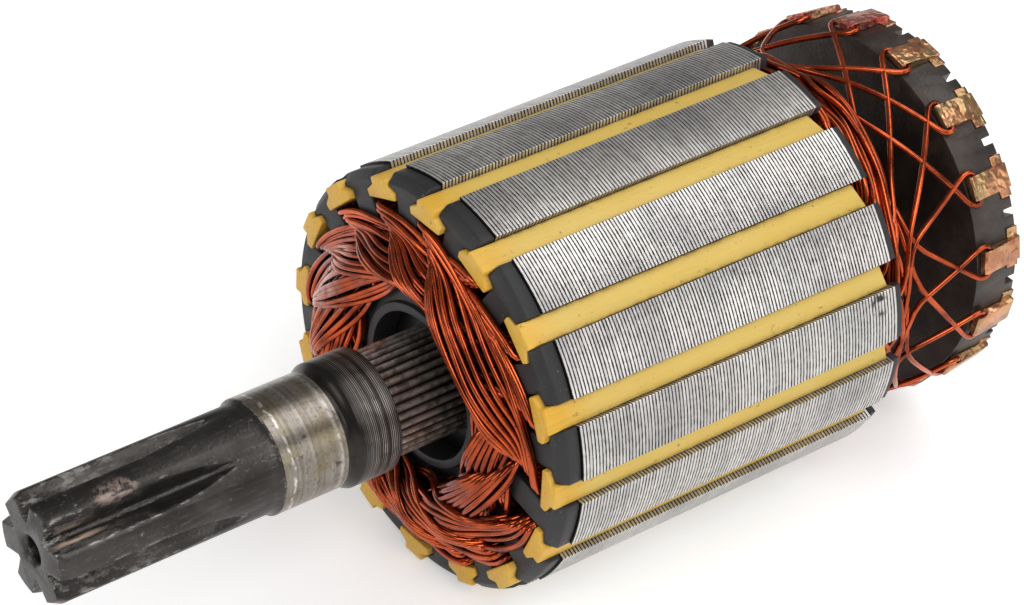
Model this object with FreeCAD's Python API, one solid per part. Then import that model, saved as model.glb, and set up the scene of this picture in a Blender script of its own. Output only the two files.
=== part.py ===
import FreeCAD, Part
import math
import os

# Winch motor rotor, lying on its side as it comes to rest.
# Lengths are in millimetres and angles in degrees.
# X runs along the shaft from the splined nose to the commutator, and Z is up.
# The origin is the middle of the front bearing journal, on the shaft's axis.
# Angles about the shaft start at the top and grow clockwise, seen from the nose.
# A section is drawn at the top of the rotor, as (out from the axis, across),
# and is then turned about the shaft to its place.

# Lamination core
core_diameter = 55.5
core_length = 50.0
journal_to_core = 24.0
slot_count = 16
slot_opening = 3.4
slot_depth = 13.0
tooth_width = 3.8
tooth_tip_edge = 1.8
tooth_tip_slope = 0.8

# Shaft
journal_diameter = 15.0
journal_length = 9.0
spline_diameter = 14.0
spline_length = 29.5
spline_lobe_count = 6
spline_turn_angle = 15.5
groove_root_diameter = 7.7
groove_root_width = 0.5
groove_half_angle = 31.0
groove_runout_start = 16.5
groove_cutter_radius = 26.0
groove_runout_angle = 40.0
nose_chamfer_length = 1.2
nose_chamfer_depth = 0.6
nose_shoulder_diameter = 14.7
nose_shoulder_length = 1.0
recess_diameter = 14.2
recess_width = 0.8
collar_diameter = 16.2
collar_end = 11.9
collar_front_chamfer = 1.0
serration_count = 36
serration_diameter = 14.0
serration_depth = 0.55
serration_overlap = 0.5
commutator_seat_diameter = 13.0
commutator_seat_end_gap = 0.6
rear_journal_diameter = 12.0
rear_journal_length = 12.0
rear_end_chamfer = 0.8
nose_hole_diameter = 3.3
nose_hole_depth = 10.0
nose_hole_mouth_diameter = 4.4
drill_point_angle = 118.0

# End insulators
insulator_inset = 0.3
front_insulator_thickness = 3.0
front_insulator_chamfer = 1.1
rear_insulator_thickness = 1.0
hub_ring_outer_diameter = 21.8
hub_ring_inner_diameter = 19.4
front_ring_height = 3.75

# Slot wedges and liners
wedge_flange_thickness = 1.0
wedge_recess = 0.9
wedge_front_reach = 3.6
wedge_reach_spread = 0.35
wedge_reach_angle = 137.5
wedge_rear_setback = 0.9
wedge_end_angle = 14.0
wedge_clearance = 0.05
liner_thickness = 0.25
liner_clearance = 0.03
liner_reach = 0.6

# Winding
coil_span_count = 4
last_coil_count = 4
wire_size = 0.64
slot_bottom_room = 1.0
coil_side_gap = 0.1
coil_clearance = 0.06
riser_drop = 1.69
riser_depth = 2.1
riser_width = 1.7
riser_gap = 0.05
bundle_width = 3.2
bundle_thickness = 0.9
layer_gap = 0.1
head_clearance = 0.2
hub_room = 1.5
end_turn_step_count = 2
knuckle_angle = 2.5
knuckle_inset = 0.12
start_hook_pitch_count = 3.5
end_hook_pitch_count = -2.5

# Ways of the two leads: share of the way back, share of the turn, share of the climb
start_lead_route = (
    (0.0, 0.0, -0.07),
    (0.21, 0.12, 0.65),
    (0.38, 0.39, 0.69),
    (0.56, 0.70, 0.65),
    (0.72, 0.87, 0.76),
    (0.875, 1.0, 1.0),
    (1.0, 1.0, 1.0),
)
end_lead_route = (
    (0.0, 0.0, -0.07),
    (0.20, 0.11, 0.22),
    (0.34, 0.31, 0.27),
    (0.52, 0.58, 0.07),
    (0.80, 0.90, 0.31),
    (0.875, 1.0, 1.0),
    (1.0, 1.0, 1.0),
)

# Commutator
commutator_diameter = 49.2
commutator_gap = 16.6
commutator_thickness = 6.8
segment_thickness = 1.8
segment_gap = 0.7
segment_inner_diameter = 19.4
segment_face_diameter = 42.4
segment_tab_width = 5.6
segment_stand = 0.2
segment_clearance = 0.05
saw_slot_width = 1.0
saw_slot_depth = 1.5
hub_rim_thickness = 0.78
bush_wall = 2.0
bush_clearance = 0.02
hook_width = 3.2
hook_front_setback = 0.3
hook_front_height = 1.33
hook_rear_height = 0.7
hook_corner = 0.25
hook_hole_back = 1.1
hook_hole_size = 0.8
hook_middle_gap = 0.05

# How far a cutting shape runs past what it cuts
overshoot = 1.0

# Places along the shaft
core_front = journal_to_core
core_rear = core_front + core_length
journal_front = -journal_length / 2
journal_rear = journal_length / 2
spline_end = journal_front - nose_shoulder_length
nose_tip = spline_end - spline_length
collar_front = journal_rear + recess_width
winding_front = core_front - front_insulator_thickness
winding_rear = core_rear + rear_insulator_thickness
commutator_front = core_rear + commutator_gap
commutator_rear = commutator_front + commutator_thickness
segment_front = commutator_rear + segment_stand - segment_thickness
segment_rear = commutator_rear + segment_stand
serration_end = winding_rear
seat_end = segment_rear + commutator_seat_end_gap
shaft_end = seat_end + rear_journal_length
hook_front = commutator_front + hook_front_setback
hook_hole_x = hook_front + hook_hole_back

# Sizes that follow from the ones above
core_radius = core_diameter / 2
slot_pitch = 360.0 / slot_count
half_pitch = math.radians(slot_pitch / 2)
tip_root = core_radius - tooth_tip_edge
tip_corner = tip_root - tooth_tip_slope
slot_floor = core_radius - slot_depth
wedge_bottom = tip_corner - wedge_flange_thickness
liner_inset = liner_clearance + liner_thickness
side_inset = liner_inset + coil_clearance
side_top = wedge_bottom - coil_clearance
commutator_radius = commutator_diameter / 2
hook_base = commutator_radius + segment_clearance
hook_hole_height = hook_base + hook_front_height / 2
hook_wire_reach = hook_width / 2 + wire_size
riser_out = side_top - riser_drop
riser_in = riser_out - riser_depth
riser_edge = coil_side_gap / 2 + riser_gap
riser_angle = math.degrees(math.atan2(riser_edge + riser_width / 2, (riser_out + riser_in) / 2))
bundle_outer = riser_out - bundle_width / 2
bundle_inner = hub_ring_outer_diameter / 2 + hub_room + bundle_width / 2
bush_outer = commutator_seat_diameter / 2 + bush_wall

V = FreeCAD.Vector
ORIGIN = V(0, 0, 0)
SHAFT_AXIS = V(1, 0, 0)


def face_of(corners):
    """Flat face inside a closed ring of corners."""
    return Part.Face(Part.makePolygon(corners + corners[:1]))


def prism(outline, x_start, x_end):
    """Solid with an outline of (out, across) points, drawn at the top of the rotor."""
    corners = [V(x_start, -across, out) for out, across in outline]
    return face_of(corners).extrude(V(x_end - x_start, 0, 0))


def both_sides(half):
    """Closed outline from its points on the plus side, read outwards."""
    return half + [(out, -across) for out, across in reversed(half)]


def turned(shape, angle):
    """Copy of a shape, turned about the shaft."""
    return shape.rotated(ORIGIN, SHAFT_AXIS, angle)


def lathe(profile):
    """Solid of revolution about the shaft, from a ring of (x, radius) points."""
    return face_of([V(x, 0, radius) for x, radius in profile]).revolve(ORIGIN, SHAFT_AXIS, 360)


def cylinder(radius, x_start, x_end):
    return Part.makeCylinder(radius, x_end - x_start, V(x_start, 0, 0), SHAFT_AXIS)


def around(shape, count, first=0.0):
    """Copies of a shape, evenly spaced about the shaft."""
    return [turned(shape, first + 360.0 * k / count) for k in range(count)]


def slot_side(out, inset):
    """How far across the slot's side lies at a distance from the axis, less an inset."""
    return out * math.tan(half_pitch) - (tooth_width / 2 + inset) / math.cos(half_pitch)


def slot_tool(x_start, x_end):
    """The space of one slot, with its narrow opening between the tooth tips."""
    mouth = slot_opening / 2
    half = [
        (slot_floor, slot_side(slot_floor, 0)),
        (tip_corner, slot_side(tip_corner, 0)),
        (tip_root, mouth),
        (core_radius + overshoot, mouth),
    ]
    return prism(both_sides(half), x_start, x_end)


def make_core():
    blank = cylinder(core_radius, core_front, core_rear)
    slots = around(slot_tool(core_front - overshoot, core_rear + overshoot), slot_count)
    bore = cylinder(serration_diameter / 2, core_front - overshoot, core_rear + overshoot)
    return blank.cut(slots + [bore])


def make_end_insulator(profile):
    """End plate over the core's teeth, from the ring of (x, radius) points of its section."""
    stations = [x for x, radius in profile]
    tool = slot_tool(min(stations) - overshoot, max(stations) + overshoot)
    return lathe(profile).cut(around(tool, slot_count))


def make_front_insulator():
    """Front end plate, with a sloping rim and a ring that keeps the winding off the shaft."""
    rim = core_radius - insulator_inset
    ring_outer = hub_ring_outer_diameter / 2
    ring_inner = hub_ring_inner_diameter / 2
    ring_front = core_front - front_ring_height
    return make_end_insulator([
        (core_front, ring_inner),
        (core_front, rim),
        (winding_front + front_insulator_chamfer, rim),
        (winding_front, rim - front_insulator_chamfer),
        (winding_front, ring_outer),
        (ring_front, ring_outer),
        (ring_front, ring_inner),
    ])


def make_rear_insulator():
    rim = core_radius - insulator_inset
    inner = hub_ring_inner_diameter / 2
    return make_end_insulator([
        (core_rear, inner),
        (core_rear, rim),
        (winding_rear, rim),
        (winding_rear, inner),
    ])


def make_wedge(number):
    """Pultruded glass-fibre strip that closes one slot, with its rear end cut at a slant."""
    neck = slot_opening / 2 - wedge_clearance
    half = [
        (wedge_bottom, slot_side(wedge_bottom, wedge_clearance)),
        (tip_corner - wedge_clearance, slot_side(tip_corner, wedge_clearance)),
        (tip_root - wedge_clearance, neck),
        (core_radius - wedge_recess, neck),
    ]
    reach = wedge_front_reach + wedge_reach_spread * math.sin(math.radians(wedge_reach_angle * number))
    rear = core_rear - wedge_rear_setback
    side = slot_side(tip_corner, 0)
    slant = side * math.tan(math.radians(wedge_end_angle))
    strip = prism(both_sides(half), core_front - reach, rear + slant)
    cutter = face_of([
        V(rear + slant, -side, wedge_bottom - overshoot),
        V(rear - slant, side, wedge_bottom - overshoot),
        V(rear + slant + overshoot, side, wedge_bottom - overshoot),
        V(rear + slant + overshoot, -side, wedge_bottom - overshoot),
    ]).extrude(V(0, 0, core_radius))
    return turned(strip.cut(cutter), slot_pitch * number)


def liner_outline(inset, top):
    """Outline of the slot up to a distance from the axis, less an inset."""
    floor = slot_floor + inset
    return both_sides([(floor, slot_side(floor, inset)), (top, slot_side(top, inset))])


def make_liners():
    """Folded insulating paper between the winding and the core, one piece in each slot."""
    x_start = core_front - liner_reach
    x_end = core_rear + liner_reach
    outer = prism(liner_outline(liner_clearance, side_top), x_start, x_end)
    inner = prism(liner_outline(liner_inset, side_top + overshoot), x_start - overshoot, x_end + overshoot)
    return Part.makeCompound(around(outer.cut(inner), slot_count))


def polar(radius, angle):
    """(out, across) of a point given by its radius and angle."""
    return radius * math.cos(math.radians(angle)), radius * math.sin(math.radians(angle))


def make_band(start_angle, mid_angle, x_low, x_high):
    """Half of an end turn: a flat bundle that runs in from its slot to the hub."""
    outer = []
    inner = []
    for k in range(end_turn_step_count + 1):
        share = k / end_turn_step_count
        angle = start_angle + (mid_angle - start_angle) * share
        middle = bundle_outer + (bundle_inner - bundle_outer) * share
        outer.append(polar(middle + bundle_width / 2, angle))
        inner.append(polar(middle - bundle_width / 2, angle))
    return prism(outer + inner[::-1], x_low, x_high)


def half_side(inner_out, outer_out, edge, inset, sign):
    """Outline of one half of a slot, on the side given by sign."""
    return [
        (inner_out, sign * edge),
        (inner_out, sign * slot_side(inner_out, inset)),
        (outer_out, sign * slot_side(outer_out, inset)),
        (outer_out, sign * edge),
    ]


def make_end_turn(x_seat, toward, lower_layer, upper_layer):
    """End turn of a coil that starts in the slot at the top: two bundles and their risers.

    The second bundle lies one layer below the first, so each coil passes over
    the one that was wound before it.
    """
    layer_pitch = bundle_thickness + layer_gap

    def span(layer):
        bottom = x_seat + toward * (head_clearance + layer * layer_pitch)
        return bottom, bottom + toward * bundle_thickness

    lower, upper = span(lower_layer), span(upper_layer)
    end_angle = slot_pitch * coil_span_count
    mid_angle = end_angle / 2
    solids = [
        make_band(riser_angle, mid_angle, *upper),
        make_band(end_angle - riser_angle, mid_angle, *lower),
    ]
    for angle, sign, top in ((0, 1, upper[1]), (end_angle, -1, lower[1])):
        riser = [
            (riser_in, sign * riser_edge),
            (riser_in, sign * (riser_edge + riser_width)),
            (riser_out, sign * (riser_edge + riser_width)),
            (riser_out, sign * riser_edge),
        ]
        solids.append(turned(prism(riser, x_seat, top), angle))
    knuckle_half = bundle_width / 2 - knuckle_inset
    knuckle = [
        polar(bundle_inner + side * knuckle_half, mid_angle + end * knuckle_angle)
        for end, side in ((-1, -1), (-1, 1), (1, 1), (1, -1))
    ]
    solids.append(prism(knuckle, lower[0], upper[1]))
    return solids


def solid_between(rings):
    """Solid whose skin joins each ring of four corners to the next with flat faces."""
    faces = [face_of(rings[0]), face_of(rings[-1])]
    for near, far in zip(rings, rings[1:]):
        for k in range(4):
            faces.append(face_of([near[k], near[k - 1], far[k - 1], far[k]]))
    solid = Part.Solid(Part.makeShell(faces))
    if solid.Volume < 0:
        solid.reverse()
    return solid


def make_wire(points, outward):
    """Square-sided wire along straight runs, mitred where it turns."""
    runs = [(after - before).normalize() for before, after in zip(points, points[1:])]
    side = runs[0].cross(outward).normalize()
    top = side.cross(runs[0])
    half = wire_size / 2
    ring = [points[0] + side * half * i + top * half * j for i, j in ((1, 1), (-1, 1), (-1, -1), (1, -1))]
    rings = [ring]
    for k, point in enumerate(points[1:]):
        along = runs[k]
        mitre = along + runs[min(k + 1, len(runs) - 1)]
        ring = [corner + along * ((point - corner).dot(mitre) / along.dot(mitre)) for corner in ring]
        rings.append(ring)
    return solid_between(rings)


def make_lead(route, start_angle, hook_angle, side):
    """Lead from a coil's riser to beside its hook, through the points of its route."""
    x_start = winding_rear + head_clearance + bundle_thickness
    x_end = hook_hole_x + wire_size / 2
    first = start_angle + side * riser_angle
    last = hook_angle + side * math.degrees(math.atan2(hook_wire_reach, hook_hole_height))
    points = []
    for back, turn, climb in route:
        radius = riser_out + (hook_hole_height - riser_out) * climb
        out, across = polar(radius, first + (last - first) * turn)
        points.append(V(x_start + (x_end - x_start) * back, -across, out))
    return make_wire(points, V(0, points[0].y, points[0].z))


def make_hook_wire(hook_angle, side):
    """End of a lead, from beside the hook to the hook's middle."""
    half = wire_size / 2
    outline = [
        (hook_hole_height - half, side * hook_middle_gap),
        (hook_hole_height - half, side * hook_wire_reach),
        (hook_hole_height + half, side * hook_wire_reach),
        (hook_hole_height + half, side * hook_middle_gap),
    ]
    return turned(prism(outline, hook_hole_x - half, hook_hole_x + half), hook_angle)


def make_coil(number):
    """One coil: two slot sides, an end turn at each end and its leads to the commutator."""
    end_angle = slot_pitch * coil_span_count
    lower = 2 if number > slot_count - last_coil_count else 0
    side_floor = slot_floor + side_inset + slot_bottom_room
    edge = coil_side_gap / 2
    start_side = half_side(side_floor, side_top, edge, side_inset, 1)
    end_side = half_side(side_floor, side_top, edge, side_inset, -1)
    x_start = winding_front - head_clearance / 2
    x_end = winding_rear + head_clearance / 2
    solids = [prism(start_side, x_start, x_end), turned(prism(end_side, x_start, x_end), end_angle)]
    solids += make_end_turn(winding_front, -1, lower, lower + 1)
    solids += make_end_turn(winding_rear, 1, lower, lower + 1)
    start_hook = slot_pitch * start_hook_pitch_count
    end_hook = end_angle + slot_pitch * end_hook_pitch_count
    solids.append(make_lead(start_lead_route, 0, start_hook, 1))
    solids.append(make_lead(end_lead_route, end_angle, end_hook, -1))
    solids.append(make_hook_wire(start_hook, 1))
    solids.append(make_hook_wire(end_hook, -1))
    coil = solids[0].fuse(solids[1:]).removeSplitter()
    return turned(coil, slot_pitch * number)


def groove_section():
    """Outline of a spline groove, narrow at its root, as (out, across) points."""
    root = groove_root_diameter / 2
    mouth = spline_diameter / 2 + overshoot
    spread = (mouth - root) * math.tan(math.radians(groove_half_angle))
    return both_sides([(root, groove_root_width / 2), (mouth, groove_root_width / 2 + spread)])


def make_spline_groove():
    """A straight groove that runs out along the round of its cutter."""
    x_turn = spline_end - groove_runout_start
    straight = prism(groove_section(), nose_tip - overshoot, x_turn)
    section = face_of([V(x_turn, -across, out) for out, across in groove_section()])
    pivot = V(x_turn, 0, groove_root_diameter / 2 + groove_cutter_radius)
    runout = section.revolve(pivot, V(0, -1, 0), groove_runout_angle)
    return straight.fuse(runout)


def serration_section():
    """Ring of corners of the serrated seat, whose ridges bite into the core's bore."""
    ridge = serration_diameter / 2
    step = 360.0 / serration_count
    corners = []
    for k in range(serration_count):
        corners.append(polar(ridge, step * k))
        corners.append(polar(ridge - serration_depth, step * (k + 0.5)))
    return corners


def make_shaft():
    spline = spline_diameter / 2
    journal = journal_diameter / 2
    collar = collar_diameter / 2
    recess = recess_diameter / 2
    shoulder = nose_shoulder_diameter / 2
    seat = commutator_seat_diameter / 2
    rear = rear_journal_diameter / 2
    under_serration = serration_diameter / 2 - serration_depth
    body = lathe([
        (nose_tip, 0),
        (nose_tip, spline - nose_chamfer_depth),
        (nose_tip + nose_chamfer_length, spline),
        (spline_end, spline),
        (journal_front, shoulder),
        (journal_front, journal),
        (journal_rear, journal),
        (journal_rear, recess),
        (collar_front, recess),
        (collar_front + collar_front_chamfer, collar),
        (collar_end, collar),
        (collar_end, under_serration),
        (serration_end, under_serration),
        (serration_end, seat),
        (seat_end, seat),
        (seat_end, rear),
        (shaft_end - rear_end_chamfer, rear),
        (shaft_end, rear - rear_end_chamfer),
        (shaft_end, 0),
    ])
    serrated = prism(serration_section(), collar_end - serration_overlap, serration_end)
    hole = nose_hole_diameter / 2
    mouth = nose_hole_mouth_diameter / 2
    point = hole / math.tan(math.radians(drill_point_angle / 2))
    drilled = lathe([
        (nose_tip - overshoot, 0),
        (nose_tip - overshoot, mouth + overshoot),
        (nose_tip + mouth - hole, hole),
        (nose_tip + nose_hole_depth, hole),
        (nose_tip + nose_hole_depth + point, 0),
    ])
    grooves = around(make_spline_groove(), spline_lobe_count, spline_turn_angle + 180.0 / spline_lobe_count)
    return body.fuse(serrated).cut(grooves + [drilled])


def segment_side(out):
    """How far across a segment's side lies at a distance from the axis."""
    return out * math.tan(half_pitch) - segment_gap / 2 / math.cos(half_pitch)


def make_segment(number):
    """Copper segment: a flat brush face, a tab across the rim and the hook for two wires."""
    inner = segment_inner_diameter / 2
    face = segment_face_diameter / 2
    tab = segment_tab_width / 2

    sector = prism(both_sides([
        (inner, segment_side(inner)),
        (face, segment_side(face)),
        (face, tab),
        (hook_base, tab),
    ]), segment_front, segment_rear)
    top_front = hook_base + hook_front_height
    top_rear = hook_base + hook_rear_height
    corner = hook_corner
    profile = [
        (hook_front + corner, hook_base),
        (hook_front, hook_base + corner),
        (hook_front, top_front - corner),
        (hook_front + corner, top_front),
        (segment_rear - corner, top_rear),
        (segment_rear, top_rear - corner),
        (segment_rear, face),
        (segment_front, face),
        (segment_front, hook_base),
    ]
    half = hook_width / 2
    hook = face_of([V(x, half, out) for x, out in profile]).extrude(V(0, -hook_width, 0))
    hole = Part.makeBox(
        hook_hole_size, hook_width + 2 * overshoot, hook_hole_size,
        V(hook_hole_x - hook_hole_size / 2, -half - overshoot, hook_hole_height - hook_hole_size / 2),
    )
    return turned(sector.fuse(hook).cut(hole).removeSplitter(), slot_pitch * (number + 0.5))


def make_commutator_body():
    """Moulded disc that carries the segments, with a saw slot between each two at its rim."""
    bore = bush_outer + bush_clearance
    rim = commutator_radius
    shelf = segment_front - segment_clearance
    face = segment_face_diameter / 2
    wall = math.hypot(face, segment_side(face)) + segment_clearance
    hub = bore + hub_rim_thickness
    blank = lathe([
        (commutator_front, bore),
        (commutator_front, rim),
        (commutator_rear, rim),
        (commutator_rear, wall),
        (shelf, wall),
        (shelf, hub),
        (commutator_rear, hub),
        (commutator_rear, bore),
    ])
    pocket_half = segment_tab_width / 2 + segment_clearance
    pocket = prism(
        both_sides([(wall - overshoot, pocket_half), (rim + overshoot, pocket_half)]),
        shelf, commutator_rear + overshoot,
    )
    slot_half = saw_slot_width / 2
    saw_slot = prism(
        both_sides([(wall - overshoot, slot_half), (rim + overshoot, slot_half)]),
        commutator_rear - saw_slot_depth, commutator_rear + overshoot,
    )
    cuts = around(pocket, slot_count, slot_pitch / 2) + around(saw_slot, slot_count)
    return blank.cut(cuts).removeSplitter()


def make_commutator_bush():
    """Brass bush moulded into the disc and pressed on the shaft."""
    inner = commutator_seat_diameter / 2 + bush_clearance
    bore = cylinder(inner, commutator_front - overshoot, commutator_rear + overshoot)
    return cylinder(bush_outer, commutator_front, commutator_rear).cut(bore)


def write(node, shape):
    shape.exportStep("parts/" + node + ".step")


os.makedirs("parts", exist_ok=True)
write("shaft", make_shaft())
write("lamination_core", make_core())
write("front_end_insulator", make_front_insulator())
write("rear_end_insulator", make_rear_insulator())
write("slot_liners", make_liners())
write("commutator_body", make_commutator_body())
write("commutator_bush", make_commutator_bush())
for number in range(1, slot_count + 1):
    write("slot_wedge_%02d" % number, make_wedge(number))
    write("coil_%02d" % number, make_coil(number))
    write("commutator_segment_%02d" % number, make_segment(number))
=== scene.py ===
import math
import random

import bmesh
import bpy
import numpy as np
from mathutils import Matrix, Vector


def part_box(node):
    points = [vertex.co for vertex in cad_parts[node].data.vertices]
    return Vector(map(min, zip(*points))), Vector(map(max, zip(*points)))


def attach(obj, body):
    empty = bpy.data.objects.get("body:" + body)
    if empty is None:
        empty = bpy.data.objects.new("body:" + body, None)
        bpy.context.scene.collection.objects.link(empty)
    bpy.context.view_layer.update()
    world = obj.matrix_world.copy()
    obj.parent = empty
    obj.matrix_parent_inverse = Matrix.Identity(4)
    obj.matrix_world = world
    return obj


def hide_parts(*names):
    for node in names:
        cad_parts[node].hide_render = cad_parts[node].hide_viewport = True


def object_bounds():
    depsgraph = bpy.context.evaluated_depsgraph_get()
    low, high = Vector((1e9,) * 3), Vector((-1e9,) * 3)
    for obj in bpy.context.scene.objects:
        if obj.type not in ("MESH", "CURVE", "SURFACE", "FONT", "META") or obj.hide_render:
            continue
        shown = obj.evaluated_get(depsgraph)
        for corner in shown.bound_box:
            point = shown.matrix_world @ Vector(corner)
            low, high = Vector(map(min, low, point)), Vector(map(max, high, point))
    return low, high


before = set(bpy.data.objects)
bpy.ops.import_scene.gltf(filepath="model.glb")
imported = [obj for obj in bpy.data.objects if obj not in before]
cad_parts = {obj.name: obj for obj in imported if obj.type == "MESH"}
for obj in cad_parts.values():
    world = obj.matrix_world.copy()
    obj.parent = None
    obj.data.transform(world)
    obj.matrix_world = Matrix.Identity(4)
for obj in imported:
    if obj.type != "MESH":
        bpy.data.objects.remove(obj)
CAD_BOX = [list(corner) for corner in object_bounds()]

bl_info = {
    "name": "Winch motor rotor",
    "version": (1, 0, 0),
    "blender": (4, 5, 0),
    "location": "View3D > Sidebar > Rotor",
    "description": "Builds the looks of a winch motor rotor around its packed CAD frame",
    "category": "Object",
}

# Lengths are in metres. X runs from the splined nose to the commutator and Z is up.
# Angles about the shaft start at the top and grow clockwise, seen from the nose.
MM = 0.001
SLOT_COUNT = sum(name.startswith("slot_wedge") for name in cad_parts)
SLOT_PITCH = math.tau / SLOT_COUNT
SHEET_THICKNESS = 0.5 * MM

# Slots from a coil's first side to its second, and slots from each side to the hook of its lead
COIL_PITCH = 4
START_HOOK_TURN = 3.5
END_HOOK_TURN = -2.5


def from_shaft(node):
    """Distances of a CAD node's vertices from the shaft's axis."""
    return [math.hypot(v.co.y, v.co.z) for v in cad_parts[node].data.vertices]


def numbered(stem):
    """Names of the CAD nodes of a repeated piece."""
    return ["%s_%02d" % (stem, number) for number in range(1, SLOT_COUNT + 1)]


FRONT_PLATE_THICKNESS = 3.0 * MM
REAR_PLATE_THICKNESS = 1.0 * MM
FRONT_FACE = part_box("front_end_insulator")[1].x - FRONT_PLATE_THICKNESS
REAR_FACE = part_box("rear_end_insulator")[0].x + REAR_PLATE_THICKNESS
WEDGE_BOTTOM = min(from_shaft("slot_wedge_16"))
HOOK_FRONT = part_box("commutator_segment_01")[0].x
BRUSH_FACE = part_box("commutator_segment_01")[1].x
HOOK_BASE = max(from_shaft("commutator_body"))
HOOK_TOP = max(from_shaft("commutator_segment_01"))
JOURNAL_END = 4.5 * MM
COLLAR_END = 11.9 * MM


def srgb(code):
    """Linear colour of an sRGB hex value."""
    parts = [int(code[k:k + 2], 16) / 255 for k in (1, 3, 5)]
    linear = [p / 12.92 if p <= 0.04045 else ((p + 0.055) / 1.055) ** 2.4 for p in parts]
    return (*linear, 1.0)


def around_shaft(x, radius, angle):
    """Point at a station, a distance from the axis and an angle about it."""
    return Vector((x, -radius * math.sin(angle), radius * math.cos(angle)))


class RotorWindingSettings(bpy.types.PropertyGroup):
    """Sizes of the wire and of the way it is laid."""

    wire_diameter: bpy.props.FloatProperty(
        name="Wire diameter", description="Diameter of the enamelled wire",
        default=0.8 * MM, min=0.2 * MM, max=2 * MM, unit="LENGTH")
    strands: bpy.props.IntProperty(
        name="Strands", description="Turns of wire side by side in the top of each coil's end turn",
        default=8, min=2, max=16)
    hidden_strands: bpy.props.IntProperty(
        name="Hidden strands", description="Turns of wire below those",
        default=6, min=2, max=16)
    exit_low: bpy.props.FloatProperty(
        name="Lowest wire", description="Distance from the axis at which the lowest wire leaves its slot",
        default=16.9 * MM, min=15 * MM, max=20 * MM, unit="LENGTH")
    exit_middle: bpy.props.FloatProperty(
        name="Middle wire", description="Distance from the axis at which a slot's second coil begins",
        default=19.8 * MM, min=18 * MM, max=22 * MM, unit="LENGTH")
    exit_high: bpy.props.FloatProperty(
        name="Highest wire", description="Distance from the axis at which the highest wire leaves its slot",
        default=23.7 * MM, min=20 * MM, max=24 * MM, unit="LENGTH")
    front_height: bpy.props.FloatProperty(
        name="Front height", description="Height of the wires over the front insulator's face",
        default=4.3 * MM, min=1 * MM, max=10 * MM, unit="LENGTH")
    rear_height: bpy.props.FloatProperty(
        name="Rear height", description="Height of the wires over the rear insulator's face",
        default=7.2 * MM, min=1 * MM, max=10 * MM, unit="LENGTH")
    slot_depth: bpy.props.FloatProperty(
        name="Slot depth", description="How far the wires reach into their slots from the end faces",
        default=9 * MM, min=1 * MM, max=20 * MM, unit="LENGTH")
    wander: bpy.props.FloatProperty(
        name="Wander", description="How far a wire strays from its even place",
        default=0.1 * MM, min=0, max=1 * MM, unit="LENGTH")
    seed: bpy.props.IntProperty(
        name="Seed", description="Choice of the wires' stray places", default=11, min=0)


class RotorFinishSettings(bpy.types.PropertyGroup):
    """Colours of the rotor's materials."""

    enamel: bpy.props.FloatVectorProperty(
        name="Wire enamel", description="Colour of the varnished copper wire",
        subtype="COLOR", size=4, min=0, max=1, default=srgb("#C4562B"))
    enamel_shade: bpy.props.FloatVectorProperty(
        name="Wire enamel, dark", description="Colour of the wire where its varnish is thick",
        subtype="COLOR", size=4, min=0, max=1, default=srgb("#762D14"))
    core: bpy.props.FloatVectorProperty(
        name="Core steel", description="Colour of the turned edges of the core's sheets",
        subtype="COLOR", size=4, min=0, max=1, default=srgb("#DDDAD6"))
    insulator: bpy.props.FloatVectorProperty(
        name="End insulators", description="Colour of the moulded end plates",
        subtype="COLOR", size=4, min=0, max=1, default=srgb("#282829"))
    wedge: bpy.props.FloatVectorProperty(
        name="Slot wedges", description="Colour of the glass-fibre strips",
        subtype="COLOR", size=4, min=0, max=1, default=srgb("#E6B034"))
    oxide: bpy.props.FloatVectorProperty(
        name="Shaft", description="Colour of the blackened steel",
        subtype="COLOR", size=4, min=0, max=1, default=srgb("#353230"))
    hook: bpy.props.FloatVectorProperty(
        name="Commutator copper", description="Colour of the bare copper of the hooks",
        subtype="COLOR", size=4, min=0, max=1, default=srgb("#D49A70"))


class RotorStageSettings(bpy.types.PropertyGroup):
    """Camera and light of the studio."""

    lens: bpy.props.FloatProperty(
        name="Lens", description="Focal length on a 36 mm wide sensor",
        default=130.83, min=20, max=300)
    floor: bpy.props.FloatVectorProperty(
        name="Floor", description="Colour of the floor", subtype="COLOR", size=4,
        min=0, max=1, default=srgb("#FAFAFA"))
    lamp_power: bpy.props.FloatProperty(
        name="Lamp power", description="Power of which each lamp gives its share",
        default=50.0, min=0, subtype="POWER")


def set_inputs(node, inputs):
    """Sets a node's inputs, each to a value or to another node's output."""
    for key, value in inputs.items():
        if isinstance(value, bpy.types.NodeSocket):
            node.id_data.links.new(value, node.inputs[key])
        else:
            node.inputs[key].default_value = value


def add_node(tree, kind, inputs=None, output=0, **settings):
    """Adds a node with its settings and inputs, and gives one of its outputs."""
    made = tree.nodes.new(kind)
    for name, value in settings.items():
        setattr(made, name, value)
    set_inputs(made, inputs or {})
    return made.outputs[output]


def new_material(name):
    """Material with its node tree, object coordinates and principled shader."""
    material = bpy.data.materials.new(name)
    material.use_nodes = True
    tree = material.node_tree
    place = add_node(tree, "ShaderNodeTexCoord", output="Object")
    return material, tree, place, tree.nodes["Principled BSDF"]


def patches(tree, place, size, low=0.0, high=1.0, detail=3.0, roughness=0.55, least=0.0, most=1.0):
    """Soft patches of a real size: least where their noise is at low, and most where it is at high."""
    noise = add_node(tree, "ShaderNodeTexNoise", {
        "Vector": place, "Scale": 1.0 / size, "Detail": detail, "Roughness": roughness})
    return add_node(tree, "ShaderNodeMapRange", {
        "Value": noise, "From Min": low, "From Max": high, "To Min": least, "To Max": most})


def rings(tree, along, size, low=0.0, high=1.0):
    """Share of the uneven rings about the axis that a tool or a brush leaves, of a real width."""
    noise = add_node(tree, "ShaderNodeTexNoise", {
        "W": along, "Scale": 1.0 / size, "Detail": 3.0}, noise_dimensions="1D")
    return add_node(tree, "ShaderNodeMapRange", {"Value": noise, "From Min": low, "From Max": high})


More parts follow.
